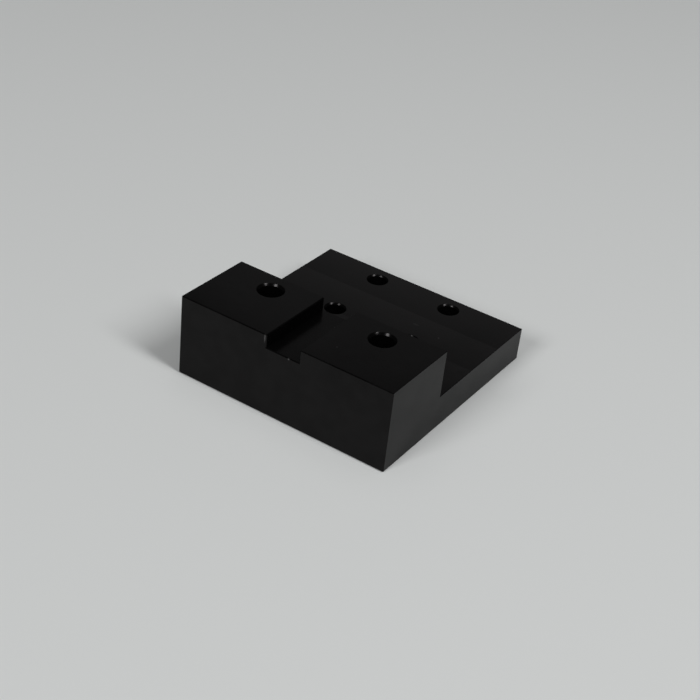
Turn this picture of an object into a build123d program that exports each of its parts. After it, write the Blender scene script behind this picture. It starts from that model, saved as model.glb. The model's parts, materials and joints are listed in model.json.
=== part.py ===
from build123d import *
import os

# Machined mounting block: one piece of aluminium bar, milled to an L section. A full-height
# rail runs across the front, with a notch milled through its top, and a thinner plate
# reaches back from it. Two holes pass down through the rail and four through the plate.
#
# Millimetres. +X runs to the right along the rail, +Y from the rail to the plate's back
# edge, and +Z up. The origin is on the base, at the middle of the block's outline.

# Outline and section
WIDTH = 66.0
DEPTH = 70.0
RAIL_HEIGHT = 24.0
RAIL_DEPTH = 25.3
PLATE_THICKNESS = 10.0

# Notch across the top of the rail, open at the front, the back and the top
NOTCH_WIDTH = 10.4
NOTCH_DEPTH = 3.8

# Rail holes, a pair on a line along the rail, clearance for M6
RAIL_HOLE_DIAMETER = 6.6
RAIL_HOLE_SPACING = 35.5
RAIL_HOLE_TO_SHOULDER = 7.0
RAIL_HOLE_CHAMFER = 0.5

# Plate holes, four on a rectangle, clearance for M5
PLATE_HOLE_DIAMETER = 5.5
PLATE_HOLE_SPACING_X = 24.2
PLATE_HOLE_SPACING_Y = 21.7
PLATE_HOLE_TO_BACK_EDGE = 5.9
PLATE_HOLE_CHAMFER = 0.4

# Break along every outside edge; the corners inside the step and the notch stay sharp
EDGE_BREAK = 0.25

# Places along Y
front = -DEPTH / 2
back = DEPTH / 2
shoulder = front + RAIL_DEPTH
rail_middle = front + RAIL_DEPTH / 2
rail_hole_line = shoulder - RAIL_HOLE_TO_SHOULDER
plate_hole_centre = back - PLATE_HOLE_TO_BACK_EDGE - PLATE_HOLE_SPACING_Y / 2

with BuildPart() as mounting_block:
    # L section, seen along X, carried across the full width
    with BuildSketch(Plane.YZ) as section:
        with BuildLine() as outline:
            Polyline(
                (front, 0),
                (back, 0),
                (back, PLATE_THICKNESS),
                (shoulder, PLATE_THICKNESS),
                (shoulder, RAIL_HEIGHT),
                (front, RAIL_HEIGHT),
                close=True,
            )
        make_face()
    extrude(amount=WIDTH / 2, both=True)

    # Notch, cut down from the rail's top at the middle of the width
    with BuildSketch(Plane.XY.offset(RAIL_HEIGHT)) as notch:
        with Locations((0, rail_middle)):
            Rectangle(NOTCH_WIDTH, RAIL_DEPTH)
    extrude(amount=-NOTCH_DEPTH, mode=Mode.SUBTRACT)

    # Edge breaks, before the holes, so that only straight outside edges are there to pick
    outside_edges = mounting_block.edges().filter_by(lambda edge: not edge.is_interior)
    chamfer(outside_edges, length=EDGE_BREAK)

    # Rail holes, down through the full height
    with Locations((0, rail_hole_line, RAIL_HEIGHT)):
        with GridLocations(RAIL_HOLE_SPACING, 0, 2, 1):
            Hole(RAIL_HOLE_DIAMETER / 2)

    # Plate holes, down through the plate
    with Locations((0, plate_hole_centre, PLATE_THICKNESS)):
        with GridLocations(PLATE_HOLE_SPACING_X, PLATE_HOLE_SPACING_Y, 2, 2):
            Hole(PLATE_HOLE_DIAMETER / 2)

    # Chamfered rims, at both ends of every hole
    rims = mounting_block.edges().filter_by(GeomType.CIRCLE).group_by(SortBy.RADIUS)
    plate_rims, rail_rims = rims[0], rims[-1]
    chamfer(rail_rims, length=RAIL_HOLE_CHAMFER)
    chamfer(plate_rims, length=PLATE_HOLE_CHAMFER)

mounting_block.part.label = "mounting_block"

os.makedirs("parts", exist_ok=True)
export_step(mounting_block.part, "parts/mounting_block.step")
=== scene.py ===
"""Looks of the machined mounting block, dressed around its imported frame.

The block is one piece of black anodised aluminium. Its skin is worked out here on a lattice
whose lines come from the frame: the outline, the step, the notch and the six holes. The skin
stands for the CAD node, and a plain pale floor, soft lamps and a camera complete the set.
"""
import json
import logging
import math
from dataclasses import dataclass, field
from enum import Enum
from typing import Any

import bpy
import numpy as np
from mathutils import Matrix, Vector


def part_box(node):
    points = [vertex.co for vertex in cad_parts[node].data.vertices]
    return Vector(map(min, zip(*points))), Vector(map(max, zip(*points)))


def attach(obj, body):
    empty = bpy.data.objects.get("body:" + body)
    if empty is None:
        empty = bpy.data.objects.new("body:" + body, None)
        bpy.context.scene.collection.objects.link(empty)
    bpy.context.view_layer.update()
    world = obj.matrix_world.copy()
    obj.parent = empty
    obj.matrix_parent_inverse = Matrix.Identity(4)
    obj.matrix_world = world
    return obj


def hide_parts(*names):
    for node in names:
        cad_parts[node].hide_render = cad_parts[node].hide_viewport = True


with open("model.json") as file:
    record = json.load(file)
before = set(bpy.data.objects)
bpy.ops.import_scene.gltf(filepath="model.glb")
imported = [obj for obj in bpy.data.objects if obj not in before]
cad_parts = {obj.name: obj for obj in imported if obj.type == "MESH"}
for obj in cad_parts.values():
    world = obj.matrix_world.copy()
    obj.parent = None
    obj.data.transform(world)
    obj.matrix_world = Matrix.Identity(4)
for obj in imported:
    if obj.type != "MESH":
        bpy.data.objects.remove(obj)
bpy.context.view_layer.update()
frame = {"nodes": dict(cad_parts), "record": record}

MM = 0.001
NEAR = 0.0001 * MM       # places closer than this are the same place
LINE_DIGITS = 9          # decimals of a metre that tell two lattice lines apart
STEP_SLACK = 1e-6        # share of a step that a gap may be too long by
TURNED = 0.5             # cosine that parts faces in line from faces square to each other
CUT_REACH = 0.5          # half the gap between the numbers of two cuts
QUARTER_TURN = math.pi / 2
FIRST_CORNER = -1.5      # quarter turns from +X to the corner where a hole's square starts
NODE = "mounting_block"
BODY = "root"
CUT = "cut"

log = logging.getLogger("mounting_block")


class Cut(Enum):
    """The cut that left a part of the skin, as the number kept in the skin's cut attribute."""

    OUTSIDE = 0
    PLATE = 1
    NOTCH = 2
    BORE = 3


# ---------------------------------------------------------------- sizes, read from the frame


def mount(name: str) -> dict[str, Any]:
    """Find one of the record's mounts.

    Args:
        name: The mount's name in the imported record.

    Returns:
        The mount, with its pos_m, axis and dims.
    """
    return next(m for m in frame["record"]["mounts"] if m["name"] == name)


def node_points(node: str) -> np.ndarray:
    """Read the places of a CAD node's vertices.

    Args:
        node: The node's name.

    Returns:
        An array of shape (n, 3), in metres.
    """
    vertices = frame["nodes"][node].data.vertices
    points = np.empty(len(vertices) * 3)
    vertices.foreach_get("co", points)
    return points.reshape(-1, 3)


@dataclass(frozen=True)
class HolePattern:
    """Equal through holes on a line or a rectangle, with a chamfered rim at both ends."""

    centre: tuple[float, float]
    spacing: tuple[float, float]
    radius: float
    rim_radius: float
    top: float
    margin: float
    rim_slope: float

    @classmethod
    def from_mount(cls, name: str, points: np.ndarray, margin: float, slope: float) -> "HolePattern":
        """Read a pattern from a bolt pattern mount and from the solid around its holes.

        Args:
            name: The mount's name.
            points: The CAD node's vertices.
            margin: Flat ring kept round a hole's rim, out to the square cell it sits in.
            slope: How deep the rim's chamfer looks for its width.

        Returns:
            The pattern, with its rim radius measured on the solid.
        """
        found = mount(name)
        x, y, top = found["pos_m"]
        dims = found["dims"]
        spacing = (dims.get("spacing_x_mm", 0.0) * MM, dims.get("spacing_y_mm", 0.0) * MM)
        radius = dims["hole_r_mm"] * MM
        reach = np.hypot(points[:, 0] - x - spacing[0] / 2, points[:, 1] - y - spacing[1] / 2)
        on_rim = (np.abs(points[:, 2] - top) < NEAR) & (reach < radius + margin)
        return cls((x, y), spacing, radius, float(reach[on_rim].max()), top, margin, slope)

    @property
    def half_cell(self) -> float:
        """Half the side of the square cell round each hole."""
        return self.rim_radius + self.margin

    @property
    def chamfer(self) -> float:
        """Width of the rim's chamfer."""
        return self.rim_radius - self.radius

    def lines(self, axis: int) -> np.ndarray:
        """Give the holes' centre lines across one axis, 0 for X and 1 for Y."""
        half = self.spacing[axis] / 2
        return np.unique(self.centre[axis] + np.array([-half, half]))

    def centres(self) -> np.ndarray:
        """Give the holes' centres as an array of shape (count, 2)."""
        grid = np.meshgrid(self.lines(0), self.lines(1), indexing="ij")
        return np.stack(grid, axis=-1).reshape(-1, 2)


# ---------------------------------------------------------------- surfaces


def lattice_lines(breaks: np.ndarray, fine_spans: np.ndarray, fine: float, coarse: float) -> np.ndarray:
    """Space lattice lines along one axis.

    Each gap between neighbouring breaks is divided evenly, into steps no longer than fine
    where the gap lies in a fine span, and no longer than coarse elsewhere.

    Args:
        breaks: Places that must have a line.
        fine_spans: Array of shape (n, 2), the stretches that cross a hole.
        fine: Longest step inside a fine span.
        coarse: Longest step elsewhere.

    Returns:
        The lines' places, in rising order.
    """
    ends = np.unique(np.round(np.concatenate([breaks, fine_spans.ravel()]), LINE_DIGITS))
    low, high = ends[:-1], ends[1:]
    middle = ((low + high) / 2)[:, None]
    is_fine = ((middle > fine_spans[:, 0]) & (middle < fine_spans[:, 1])).any(axis=1)
    counts = np.ceil((high - low) / np.where(is_fine, fine, coarse) - STEP_SLACK).astype(int)
    runs = [np.linspace(a, b, n, endpoint=False) for a, b, n in zip(low, high, counts)]
    return np.concatenate([*runs, ends[-1:]])


@dataclass(frozen=True)
class Lattice:
    """Lines across X, Y and Z, the points where they cross and the cells between them."""

    lines: tuple[np.ndarray, np.ndarray, np.ndarray]

    @property
    def shape(self) -> tuple[int, ...]:
        """Number of lines across each axis."""
        return tuple(len(places) for places in self.lines)

    def points(self) -> np.ndarray:
        """Give all crossings as an array of shape (count, 3)."""
        return np.stack(np.meshgrid(*self.lines, indexing="ij"), axis=-1).reshape(-1, 3)

    def middles(self) -> list[np.ndarray]:
        """Give the cells' middles, as one array for each axis."""
        between = [(places[:-1] + places[1:]) / 2 for places in self.lines]
        return np.meshgrid(*between, indexing="ij")

    def index(self, axis: int, place: float) -> int:
        """Find the line at a place along an axis."""
        return int(np.searchsorted(self.lines[axis], place - NEAR))

    def skin(self, solid: np.ndarray) -> tuple[np.ndarray, np.ndarray]:
        """Find the faces between filled and empty cells.

        Along each axis, the difference between neighbouring cells is +1 where the solid
        begins and -1 where it ends. Each such place is one quad, wound so that it faces out.

        Args:
            solid: Boolean array of cells, True where the block is.

        Returns:
            The quads as crossing numbers, shape (n, 4), and a mask of those facing up or down.
        """
        quads, flat = [], []
        for axis in range(3):
            others = [(axis + 1) % 3, (axis + 2) % 3]
            widths = [(1, 1) if a == axis else (0, 0) for a in range(3)]
            change = np.diff(np.pad(solid, widths).astype(np.int8), axis=axis)
            corner = np.argwhere(change)
            leaves = change[change != 0] < 0
            steps = np.zeros((4, 3), int)
            steps[[1, 2], others[0]] = 1
            steps[[2, 3], others[1]] = 1
            crossings = corner[:, None, :] + steps[None, :, :]
            numbers = np.ravel_multi_index(tuple(np.moveaxis(crossings, -1, 0)), self.shape)
            quads.append(np.where(leaves[:, None], numbers, numbers[:, ::-1]))
            flat.append(np.full(len(numbers), axis == 2))
        return np.concatenate(quads), np.concatenate(flat)


def softened(corners: np.ndarray, reach: float, steps: int) -> np.ndarray:
    """Round the inner corners of a profile.

    Each corner is replaced by a parabola: it starts at the given reach before the corner, on
    the line that arrives, ends as far behind it on the line that leaves, and is pulled
    towards the corner, as (1-t)^2 start + 2t(1-t) corner + t^2 end.

    Args:
        corners: Profile corners, shape (n, 2); the first and last stay as they are.
        reach: Distance from a corner to each end of its parabola.
        steps: Segments in each parabola.

    Returns:
        The rounded profile, shape (m, 2).
    """
    inner = corners[1:-1]
    before, after = corners[:-2] - inner, corners[2:] - inner
    start = inner + reach * before / np.linalg.norm(before, axis=1, keepdims=True)
    end = inner + reach * after / np.linalg.norm(after, axis=1, keepdims=True)
    t = np.linspace(0, 1, steps + 1)[None, :, None]
    curve = (1 - t) ** 2 * start[:, None] + 2 * t * (1 - t) * inner[:, None] + t**2 * end[:, None]
    return np.concatenate([corners[:1], curve.reshape(-1, 2), corners[-1:]])


@dataclass
class BlockSkin:
    """The block's outer skin: its flat faces, the step, the notch, the holes and the edge breaks.

    light_break is a share of edge_break. A hole's profile starts arris_lead arris reaches
    outside its rim, and its wall rings start and end wall_lead chamfer depths from the faces.
    """

    edge_break: float = 0.25 * MM
    light_break: float = 0.35
    rim_slopes: tuple[float, float] = (1.42, 1.30)
    arris_reach: float = 0.10 * MM
    hole_margin: float = 0.8 * MM
    fine_step: float = 0.4 * MM
    coarse_step: float = 3.0 * MM
    cell_rings: int = 3
    wall_rings: int = 4
    wall_lead: int = 2
    arris_steps: int = 4
    arris_lead: int = 3
    low: Vector = field(init=False)
    high: Vector = field(init=False)
    shoulder: float = field(init=False)
    plate_top: float = field(init=False)
    notch_floor: float = field(init=False)
    notch_half: float = field(init=False)
    patterns: list[HolePattern] = field(init=False)

    def __post_init__(self) -> None:
        """Read the block's outline, levels and holes from the frame."""
        points = node_points(NODE)
        self.low, self.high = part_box(NODE)
        self.shoulder = mount("shoulder")["pos_m"][1]
        self.plate_top = mount("plate_seat")["pos_m"][2]
        self.notch_floor = mount("notch_slide")["pos_m"][2]
        on_floor = np.abs(points[:, 2] - self.notch_floor) < NEAR
        self.notch_half = float(np.abs(points[on_floor, 0]).max())
        rims = zip(("rail_bolts", "plate_bolts"), self.rim_slopes)
        self.patterns = [HolePattern.from_mount(n, points, self.hole_margin, s) for n, s in rims]

    def lattice(self) -> Lattice:
        """Space the lattice, with lines at every step of the outline and fine ones over the holes.

        Returns:
            The lattice that the skin's flat faces are cut from.
        """
        steps = ([-self.notch_half, self.notch_half], [self.shoulder], [self.plate_top, self.notch_floor])
        lines = []
        for axis in range(3):
            breaks = np.array([self.low[axis], *steps[axis], self.high[axis]])
            across = [p.lines(axis)[:, None] + (-p.half_cell, p.half_cell) for p in self.patterns if axis < 2]
            spans = np.concatenate([np.empty((0, 2)), *across])
            lines.append(lattice_lines(breaks, spans, self.fine_step, self.coarse_step))
        return Lattice(tuple(lines))

    def filled(self, lattice: Lattice) -> np.ndarray:
        """Tell which cells the block fills.

        A cell is filled where its middle is under the plate's top, or in the rail and not in
        the notch.

        Args:
            lattice: The lattice.

        Returns:
            Boolean array, one value a cell.
        """
        x, y, z = lattice.middles()
        in_notch = (np.abs(x) < self.notch_half) & (z > self.notch_floor)
        return (z < self.plate_top) | ((y < self.shoulder) & ~in_notch)

    def hole_profile(self, pattern: HolePattern) -> np.ndarray:
        """Give a hole's profile from its top face down to the base, as radius and height.

        It runs in over the flat ring to the rim, down the chamfer, along the wall and out
        again over the lower chamfer, with each arris a little rounded. The deburring tool
        cuts its chamfer a little deeper than wide, by the pattern's rim slope.

        Args:
            pattern: The pattern that the hole belongs to.

        Returns:
            Array of shape (n, 2).
        """
        lead = pattern.rim_radius + self.arris_lead * self.arris_reach
        rim, bore, cut = pattern.rim_radius, pattern.radius, pattern.rim_slope * pattern.chamfer
        top, base = pattern.top, self.low.z
        inset = self.wall_lead * cut
        wall = np.linspace(top - inset, base + inset, self.wall_rings)
        upper = np.array([(lead, top), (rim, top), (bore, top - cut), (bore, wall[0])])
        lower = np.array([(bore, wall[-1]), (bore, base + cut), (rim, base), (lead, base)])
        straight = np.stack([np.full(self.wall_rings - 2, bore), wall[1:-1]], axis=-1)
        soft_upper = softened(upper, self.arris_reach, self.arris_steps)
        soft_lower = softened(lower, self.arris_reach, self.arris_steps)
        return np.concatenate([soft_upper, straight, soft_lower])

    def hole_patch(
        self, lattice: Lattice, pattern: HolePattern, centre: np.ndarray, first: int
    ) -> tuple[np.ndarray, np.ndarray]:
        """Fill one square cell with a hole, from its top face to the base.

        Rings pass from the square's outline to a circle, down the hole and out to the same
        square on the base. A ring's point is centre + radius * (cos a, sin a), with the angle
        a spaced evenly along each side of the square.

        Args:
            lattice: The lattice, with lines on the square's sides.
            pattern: The hole's pattern.
            centre: The hole's centre.
            first: Number that the patch's first new point will have.

        Returns:
            The new points and the quads that join them to the lattice.
        """
        half = pattern.half_cell
        (i0, j0), (i1, j1) = ([lattice.index(a, centre[a] + d) for a in (0, 1)] for d in (-half, half))
        wide, deep = i1 - i0, j1 - j0
        i = np.concatenate([np.arange(i0, i1), np.full(deep, i1), np.arange(i1, i0, -1), np.full(deep, i0)])
        j = np.concatenate([np.full(wide, j0), np.arange(j0, j1), np.full(wide, j1), np.arange(j1, j0, -1)])
        sides = enumerate((wide, deep, wide, deep))
        side = np.concatenate([quarter + np.arange(n) / n for quarter, n in sides])
        angle = (side + FIRST_CORNER) * QUARTER_TURN
        level = lattice.index(2, pattern.top)
        upper, lower = (np.ravel_multi_index((i, j, np.full(len(i), k)), lattice.shape) for k in (level, 0))

        profile = self.hole_profile(pattern)
        rings = np.empty((len(profile), len(angle), 3))
        rings[..., 0] = centre[0] + profile[:, :1] * np.cos(angle)
        rings[..., 1] = centre[1] + profile[:, :1] * np.sin(angle)
        rings[..., 2] = profile[:, 1:]
        square = lattice.points()
        blend = np.linspace(0, 1, self.cell_rings + 1)[1:-1, None, None]
        top_rings = square[upper] * (1 - blend) + rings[0] * blend
        base_rings = rings[-1] * (1 - blend) + square[lower] * blend
        new = np.concatenate([top_rings, rings, base_rings])

        numbers = first + np.arange(new.shape[0] * new.shape[1]).reshape(new.shape[:2])
        numbers = np.concatenate([upper[None], numbers, lower[None]])
        turned = np.roll(numbers, -1, axis=1)
        quads = np.stack([numbers[:-1], turned[:-1], turned[1:], numbers[1:]], axis=-1)
        return new.reshape(-1, 3), quads.reshape(-1, 4)

    def mesh_data(self) -> tuple[np.ndarray, np.ndarray]:
        """Work out the skin's points and quads.

        The flat faces come from the lattice. The quads over a hole are left out, and a patch
        of rings takes their place.

        Returns:
            Points of shape (n, 3) and quads of shape (m, 4).
        """
        lattice = self.lattice()
        points = lattice.points()
        quads, flat = lattice.skin(self.filled(lattice))
        middle = points[quads].mean(axis=1)
        keep = np.ones(len(quads), bool)
        all_points, patches = [points], []
        count = len(points)
        for pattern in self.patterns:
            for centre in pattern.centres():
                over = (np.abs(middle[:, :2] - centre) < pattern.half_cell).all(axis=1)
                keep &= ~(over & flat)
                new_points, new_quads = self.hole_patch(lattice, pattern, centre, count)
                all_points.append(new_points)
                patches.append(new_quads)
                count += len(new_points)
        quads = np.concatenate([quads[keep], *patches])
        used, quads = np.unique(quads, return_inverse=True)
        return np.concatenate(all_points)[used], quads.reshape(-1, 4)

    def cuts(self, points: np.ndarray, quads: np.ndarray) -> np.ndarray:
        """Say which cut left each quad, by where its middle is.

        Args:
            points: The skin's points.
            quads: The skin's quads.

        Returns:
            One number of a Cut for each quad.
        """
        middle = points[quads].mean(axis=1)
        x, y, z = middle.T
        cut = np.full(len(quads), Cut.OUTSIDE.value)
        cut[(np.abs(z - self.plate_top) < NEAR) & (y > self.shoulder)] = Cut.PLATE.value
        cut[(np.abs(x) < self.notch_half + NEAR) & (z > self.notch_floor - NEAR)] = Cut.NOTCH.value
        for pattern in self.patterns:
            for centre in pattern.centres():
                reach = np.linalg.norm(middle[:, :2] - centre, axis=1)
                cut[reach < pattern.rim_radius + self.arris_reach] = Cut.BORE.value
        return cut

    def break_shares(self, mesh: bpy.types.Mesh) -> np.ndarray:
        """Find the square outside edges of the skin and how much of the edge break each gets.

        Every edge lies between two quads. It is an outside edge where the quads stand square
        to each other and the second one's centre is behind the first one's plane. The top
        edges along the right side are broken more lightly than the others.

        Args:
            mesh: The skin's mesh, closed and all quads.

        Returns:
            One share of the edge break for each edge, 0 where it has none.
        """
        edge_of_loop = np.empty(len(mesh.loops), np.int32)
        mesh.loops.foreach_get("edge_index", edge_of_loop)
        quad_of_loop = np.repeat(np.arange(len(mesh.polygons)), 4)
        pairs = quad_of_loop[np.argsort(edge_of_loop, kind="stable")].reshape(-1, 2)
        normals, centres = (np.empty(len(mesh.polygons) * 3) for _ in range(2))
        mesh.polygons.foreach_get("normal", normals)
        mesh.polygons.foreach_get("center", centres)
        normal, centre = (a.reshape(-1, 3)[pairs] for a in (normals, centres))
        square = (normal[:, 0] * normal[:, 1]).sum(axis=1) < TURNED
        behind = ((centre[:, 1] - centre[:, 0]) * normal[:, 0]).sum(axis=1) < 0
        faces_right_and_up = (normal.sum(axis=1)[:, [0, 2]] > TURNED).all(axis=1)
        at_right = centre[..., 0].max(axis=1) > self.high.x - NEAR
        return np.where(faces_right_and_up & at_right, self.light_break, 1.0) * (square & behind)

    def build(self) -> bpy.types.Object:
        """Make the skin's object, with flat faces and edge breaks and smooth bores.

        Returns:
            The finished object, at the origin, in the frame's own coordinates.
        """
        points, quads = self.mesh_data()
        mesh = bpy.data.meshes.new("block_skin")
        mesh.from_pydata(points.tolist(), [], quads.tolist())
        cuts = self.cuts(points, quads)
        mesh.polygons.foreach_set("use_smooth", cuts == Cut.BORE.value)
        kept = mesh.attributes.new(CUT, "FLOAT", "FACE")
        kept.data.foreach_set("value", cuts.astype(np.float32))
        weights = mesh.attributes.new("bevel_weight_edge", "FLOAT", "EDGE")
        weights.data.foreach_set("value", self.break_shares(mesh).astype(np.float32))
        skin = bpy.data.objects.new("block_skin", mesh)
        bpy.context.scene.collection.objects.link(skin)
        bevel = skin.modifiers.new("edge_break", "BEVEL")
        bevel.limit_method = "WEIGHT"
        bevel.width = self.edge_break
        bevel.segments = 1
        return skin


# ---------------------------------------------------------------- finishes


Socket = bpy.types.NodeSocket


@dataclass(frozen=True)
class Noise:
    """Noise of one scale: how large its blotches are, how fine its detail, which values count."""

    size: float
    detail: float
    span: tuple[float, float] = (0.35, 0.65)


class Nodes:
    """A short way to add and join the nodes of one material."""

    def __init__(self, name: str) -> None:
        """Start a material with only a Principled shader and its output."""
        self.material = bpy.data.materials.new(name)
        self.material.use_nodes = True
        self.tree = self.material.node_tree
        self.shader = next(n for n in self.tree.nodes if n.type == "BSDF_PRINCIPLED")

    def feed(self, socket: Socket, value: Any) -> None:
        """Set a socket to a plain value, or link it from an output."""
        if isinstance(value, Socket):
            self.tree.links.new(value, socket)
        else:
            socket.default_value = value

    def add(self, kind: str, inputs: dict[str | int, Any], output: str, **settings: Any) -> Socket:
        """Add a node, set its options, and fill its inputs.

        Args:
            kind: The node's type name, without its ShaderNode prefix.
            inputs: Input names or numbers, each with a plain value or with an output to link from.
            output: The name of the output that is wanted.
            settings: The node's own options.

        Returns:
            That output.
        """
        node = self.tree.nodes.new("ShaderNode" + kind)
        for key, value in settings.items():
            setattr(node, key, value)
        for key, value in inputs.items():
            self.feed(node.inputs[key], value)
        return node.outputs[output]

    def maths(self, operation: str, *values: Any) -> Socket:
        """Add a Math node on one to three values."""
        return self.add("Math", dict(enumerate(values)), "Value", operation=operation)

    def noise(self, place: Socket, noise: Noise) -> Socket:
        """Add noise, whose largest blotches are about its size across."""
        inputs = {"Vector": place, "Scale": 1 / noise.size, "Detail": noise.detail}
        return self.add("TexNoise", inputs, "Fac")

    def ramp(self, value: Socket, span: tuple[float, float], low: float, high: float) -> Socket:
        """Turn a value that runs over the span into one that runs from low to high."""
        ends = {"Value": value, "From Min": span[0], "From Max": span[1], "To Min": low, "To Max": high}
        return self.add("MapRange", ends, "Result", interpolation_type="SMOOTHSTEP")


@dataclass(frozen=True)
class RubAndGlint:
    """A small lighter place where the black is rubbed thin; on the notch's edges it is also a painted
    highlight for a glint. Middle and half sizes in mm, and its tone.
    """

    middle: tuple[float, float, float]
    half: tuple[float, float, float]
    tone: float


@dataclass(frozen=True)
class BlackAnodise:
    """Dyed anodised aluminium over a milled surface: near black, satin, a little uneven.

    The streaks' noise is one unit large: its place is divided by their length and width first.
    """

    metal: float = 0.9
    ior: float = 1.25
    glancing_tint: float = 0.75
    hue: tuple[float, float, float] = (1.04, 1.0, 1.01)
    blotch: Noise = Noise(16.0 * MM, 2.0)
    blotch_share: float = 0.6
    mottle: Noise = Noise(4.0 * MM, 4.0)
    mottle_share: float = 0.4
    mixed_span: tuple[float, float] = (0.38, 0.62)
    tone_low: float = 0.0144
    tone_high: float = 0.0168
    pass_width: float = 14.4 * MM
    pass_low: float = 0.001
    pass_high: float = 0.009
    stain: Noise = Noise(9.0 * MM, 1.0)
    stain_tone: float = 0.003
    side_depth: float = 0.01 * MM
    sheen: Noise = Noise(4.0 * MM, 3.0)
    roughness_low: float = 0.14
    roughness_high: float = 0.20
    notch_roughness: float = 0.24
    bore_roughness: float = 0.20
    waves: Noise = Noise(11.0 * MM, 1.0)
    wave_height: float = 0.008 * MM
    streaks: Noise = Noise(1.0, 2.0)
    streak_width: float = 0.3 * MM
    streak_length: float = 12.0 * MM
    grain: Noise = Noise(0.3 * MM, 2.0)
    grain_height: float = 0.0005 * MM
    rub_and_glint_fade: tuple[float, float] = (0.2, 1.0)
    rubs_and_glints: tuple[RubAndGlint, ...] = (
        # worn spot on the notch's front arris, lightened further as a painted highlight for a lamp's glint
        RubAndGlint((-5.7, -35.0, 23.0), (0.35, 0.5, 1.9), 0.07),
        # worn spot on the notch floor's front edge, lightened further as a painted highlight for a glint
        RubAndGlint((2.0, -35.0, 20.0), (0.4, 0.4, 0.4), 0.13),
        RubAndGlint((11.1, -27.4, 24.0), (0.3, 0.3, 0.3), 0.05),
        RubAndGlint((17.9, 14.2, 10.0), (0.35, 0.3, 0.3), 0.07),
        RubAndGlint((9.4, 15.9, 10.0), (1.4, 0.5, 0.3), 0.02),
    )

    def is_cut(self, nodes: Nodes, kind: Cut) -> Socket:
        """Give 1 on the parts of the skin that the named cut left, and 0 elsewhere."""
        cut = nodes.add("Attribute", {}, "Fac", attribute_name=CUT)
        return nodes.maths("COMPARE", cut, float(kind.value), CUT_REACH)

    def pass_tone(self, nodes: Nodes, place: Socket, back: float) -> Socket:
        """Lighten each cutter pass over the plate towards its back.

        The tone is pass_low just behind a pass's front line and pass_high at its back, on a
        straight ramp that starts again every pass width, counted from the block's back edge.

        Args:
            nodes: The material.
            place: The Object coordinates.
            back: Where the block's back edge is along Y.

        Returns:
            The tone to add, which is 0 off the plate.
        """
        y = nodes.add("SeparateXYZ", {"Vector": place}, "Y")
        passes = nodes.maths("DIVIDE", nodes.maths("SUBTRACT", back, y), self.pass_width)
        share = nodes.maths("FRACT", passes)
        tone = nodes.maths("MULTIPLY_ADD", share, self.pass_low - self.pass_high, self.pass_high)
        return nodes.maths("MULTIPLY", tone, self.is_cut(nodes, Cut.PLATE))

    def side_stain(self, nodes: Nodes, place: Socket, right: float) -> Socket:
        """Stain the right side a little unevenly, lighter and darker by stain_tone.

        Args:
            nodes: The material.
            place: The Object coordinates.
            right: Where the block's right side is along X.

        Returns:
            The tone to add, which is 0 off the right side.
        """
        x = nodes.add("SeparateXYZ", {"Vector": place}, "X")
        blotch = nodes.noise(place, self.stain)
        tone = nodes.ramp(blotch, self.stain.span, -self.stain_tone, self.stain_tone)
        return nodes.maths("MULTIPLY", tone, nodes.maths("COMPARE", x, right, self.side_depth))

    def rub_and_glint_tone(self, nodes: Nodes, place: Socket, rub_and_glint: RubAndGlint) -> Socket:
        """Lighten one rubbed place; on the notch's edges the lightening is also a painted highlight.

        The tone is full in the core of an ellipsoid and fades to nothing at its surface.

        Args:
            nodes: The material.
            place: The Object coordinates.
            rub_and_glint: The rubbed place; on the notch's edges also a painted highlight.

        Returns:
            The tone to add.
        """
        middle, half = ([v * MM for v in values] for values in (rub_and_glint.middle, rub_and_glint.half))
        away = nodes.add("VectorMath", {0: place, 1: middle}, "Vector", operation="SUBTRACT")
        scaled = nodes.add("VectorMath", {0: away, 1: half}, "Vector", operation="DIVIDE")
        reach = nodes.add("VectorMath", {0: scaled}, "Value", operation="LENGTH")
        return nodes.ramp(reach, self.rub_and_glint_fade, rub_and_glint.tone, 0.0)

    def tone(self, nodes: Nodes, place: Socket, corner: Vector) -> Socket:
        """Work out how much light the dyed surface gives back when seen square on.

        Broad blotches and a finer mottle move it between tone_low and tone_high, and the
        cutter passes, the stained side and the rubbed places lighten it. The two rubbed places
        on the notch's edges are also painted highlights.

        Args:
            nodes: The material.
            place: The Object coordinates.
            corner: The block's back right corner.

        Returns:
            The tone, as a linear grey.
        """
        blotch, mottle = nodes.noise(place, self.blotch), nodes.noise(place, self.mottle)
        broad = nodes.maths("MULTIPLY", blotch, self.blotch_share)
        mixed = nodes.maths("MULTIPLY_ADD", mottle, self.mottle_share, broad)
        tone = nodes.ramp(mixed, self.mixed_span, self.tone_low, self.tone_high)
        tone = nodes.maths("ADD", tone, self.pass_tone(nodes, place, corner.y))
        tone = nodes.maths("ADD", tone, self.side_stain(nodes, place, corner.x))
        # rubbed places; the two on the notch's edges are also painted highlights
        for rub_and_glint in self.rubs_and_glints:
            tone = nodes.maths("ADD", tone, self.rub_and_glint_tone(nodes, place, rub_and_glint))
        return tone

    def relief(self, nodes: Nodes, place: Socket) -> Socket:
        """Raise broad shallow waves, and on them a fine grain and streaks along the cutter's way.

        Args:
            nodes: The material.
            place: The Object coordinates.

        Returns:
            The surface's normal.
        """
        waves = {"Height": nodes.noise(place, self.waves), "Distance": self.wave_height}
        waved = nodes.add("Bump", waves, "Normal")
        stretch = (1 / self.streak_length, 1 / self.streak_width, 1 / self.streak_width)
        along = nodes.add("Mapping", {"Vector": place, "Scale": stretch}, "Vector")
        streaks, grain = nodes.noise(along, self.streaks), nodes.noise(place, self.grain)
        fine = {"Height": nodes.maths("ADD", streaks, grain), "Distance": self.grain_height}
        return nodes.add("Bump", {**fine, "Normal": waved}, "Normal")

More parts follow.
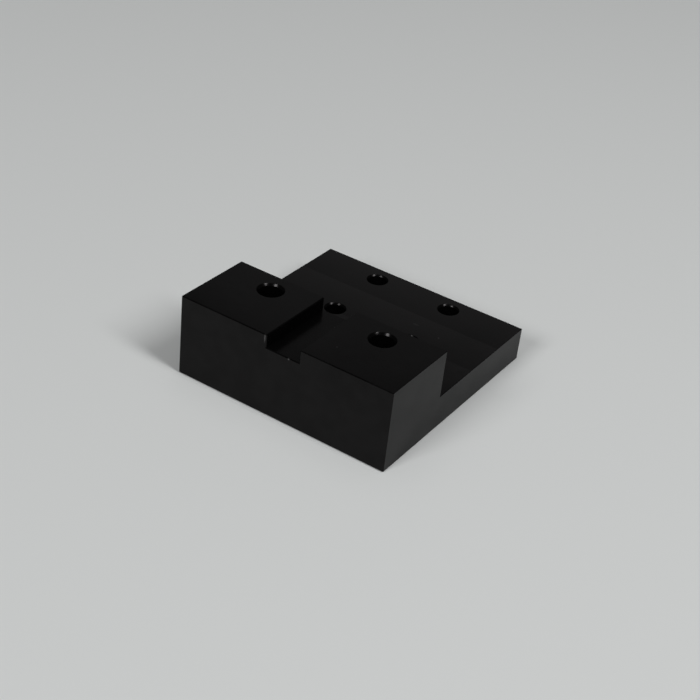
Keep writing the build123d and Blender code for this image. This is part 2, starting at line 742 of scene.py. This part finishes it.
    def material(self, corner: Vector) -> bpy.types.Material:
        """Build the finish.

        Args:
            corner: The block's back right corner, which the passes and the stain are set by.

        Returns:
            The material, which reads Object coordinates and the skin's cut attribute.
        """
        nodes = Nodes("black_anodise")
        place = nodes.add("TexCoord", {}, "Object")
        tones = {0: self.tone(nodes, place, corner), 1: self.hue}
        colour = nodes.add("VectorMath", tones, "Vector", operation="MULTIPLY")
        sheen = nodes.noise(place, self.sheen)
        rough = nodes.ramp(sheen, self.sheen.span, self.roughness_low, self.roughness_high)
        for kind, value in ((Cut.NOTCH, self.notch_roughness), (Cut.BORE, self.bore_roughness)):
            mix = {"Factor": self.is_cut(nodes, kind), "A": rough, "B": value}
            rough = nodes.add("Mix", mix, "Result")
        shader = nodes.shader.inputs
        nodes.feed(shader["Base Color"], colour)
        nodes.feed(shader["Roughness"], rough)
        nodes.feed(shader["Normal"], self.relief(nodes, place))
        shader["Metallic"].default_value = self.metal
        shader["IOR"].default_value = self.ior
        shader["Specular Tint"].default_value = (*[self.glancing_tint] * 3, 1.0)
        return nodes.material


@dataclass(frozen=True)
class PalePaper:
    """Matt pale paper for the floor."""

    tone: tuple[float, float, float] = (0.790, 0.806, 0.800)
    roughness: float = 0.9

    def material(self) -> bpy.types.Material:
        """Build the finish.

        Returns:
            The material, plain and matt.
        """
        nodes = Nodes("pale_paper")
        nodes.shader.inputs["Base Color"].default_value = (*self.tone, 1.0)
        nodes.shader.inputs["Roughness"].default_value = self.roughness
        nodes.shader.inputs["Specular IOR Level"].default_value = 0.0
        return nodes.material


# ---------------------------------------------------------------- the set


def outward(azimuth: float, elevation: float) -> Vector:
    """Give the direction from the block to an onlooker or a lamp.

    Args:
        azimuth: Angle round the block in degrees, 0 in front of it and 90 at its right.
        elevation: Angle above the floor in degrees.

    Returns:
        The unit vector (sin a cos e, -cos a cos e, sin e).
    """
    a, e = math.radians(azimuth), math.radians(elevation)
    return Vector((math.sin(a) * math.cos(e), -math.cos(a) * math.cos(e), math.sin(e)))


@dataclass(frozen=True)
class Lamp:
    """An oval soft lamp that looks at the block.

    Its angles are in degrees, its distance, width and height in metres and its power in watts.
    """

    name: str
    azimuth: float
    elevation: float
    distance: float
    size: tuple[float, float]
    power: float

    def build(self, target: Vector) -> None:
        """Place the lamp.

        Args:
            target: The point that it looks at.
        """
        light = bpy.data.lights.new(self.name, "AREA")
        light.shape = "ELLIPSE"
        light.size, light.size_y = self.size
        light.energy = self.power
        lamp = bpy.data.objects.new(self.name, light)
        away = outward(self.azimuth, self.elevation)
        lamp.location = target + away * self.distance
        lamp.rotation_mode = "QUATERNION"
        lamp.rotation_quaternion = away.to_track_quat("Z", "Y")
        bpy.context.scene.collection.objects.link(lamp)


@dataclass(frozen=True)
class Studio:
    """The plain set: a pale floor, soft lamps, a dim room and the camera.

    azimuth, elevation and roll are the camera's, in degrees, and lens is its focal length in mm.
    card_behind is a weak lamp that stands for the glow of a pale card.
    """

    azimuth: float = 30.73
    elevation: float = 32.73
    roll: float = 6.607
    distance: float = 384.1 * MM
    target: tuple[float, float, float] = (0.675 * MM, -3.367 * MM, 6.867 * MM)
    lens: float = 72.60
    floor_half: float = 6.0
    floor_gap: float = 0.02 * MM
    room: float = 0.045
    lamps: tuple[Lamp, ...] = (
        Lamp("lamp_right", 83.5, 51.0, 1.5, (0.36, 0.88), 10.2),
        Lamp("lamp_front", 352.0, 34.5, 2.1, (0.77, 0.70), 15.0),
        Lamp("lamp_above", 0.0, 88.0, 1.5, (1.8, 1.8), 3.1),
        Lamp("card_behind", 209.0, 22.0, 1.0, (0.52, 0.52), 0.142),
    )

    def build_floor(self) -> None:
        """Lay the pale floor just under the block."""
        half, level = self.floor_half, -self.floor_gap
        mesh = bpy.data.meshes.new("floor")
        corners = [(-half, -half, level), (half, -half, level), (half, half, level), (-half, half, level)]
        mesh.from_pydata(corners, [], [(0, 1, 2, 3)])
        mesh.materials.append(PalePaper().material())
        floor = bpy.data.objects.new("floor", mesh)
        bpy.context.scene.collection.objects.link(floor)

    def build_room(self) -> None:
        """Fill the room with a dim even light."""
        world = bpy.data.worlds.new("room")
        world.use_nodes = True
        background = world.node_tree.nodes["Background"]
        background.inputs["Color"].default_value = (self.room, self.room, self.room, 1.0)
        bpy.context.scene.world = world

    def build_camera(self) -> None:
        """Stand the camera at its azimuth and elevation, and roll it about its own axis."""
        back = outward(self.azimuth, self.elevation)
        level = outward(self.azimuth + 90, 0.0)
        roll = math.radians(self.roll)
        right = math.cos(roll) * level + math.sin(roll) * back.cross(level)
        up = back.cross(right)
        data = bpy.data.cameras.new("camera")
        data.lens = self.lens
        camera = bpy.data.objects.new("camera", data)
        turn = Matrix((right, up, back)).transposed().to_4x4()
        camera.matrix_world = Matrix.Translation(Vector(self.target) + back * self.distance) @ turn
        bpy.context.scene.collection.objects.link(camera)
        bpy.context.scene.camera = camera

    def build(self) -> None:
        """Build the whole set."""
        self.build_floor()
        self.build_room()
        for lamp in self.lamps:
            lamp.build(Vector(self.target))
            log.info("set: %s", lamp.name)
        self.build_camera()
        bpy.context.scene.view_settings.view_transform = "Standard"


# ---------------------------------------------------------------- all together


def main() -> None:
    """Build the block's skin and the set, in order, and report each piece."""
    logging.basicConfig(level=logging.INFO, format="%(message)s")
    block = BlockSkin()
    skin = block.build()
    skin.data.materials.append(BlackAnodise().material(block.high))
    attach(skin, BODY)
    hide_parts(NODE)
    log.info("piece: %s, %d quads", skin.name, len(skin.data.polygons))
    Studio().build()


if __name__ == "__main__":
    main()
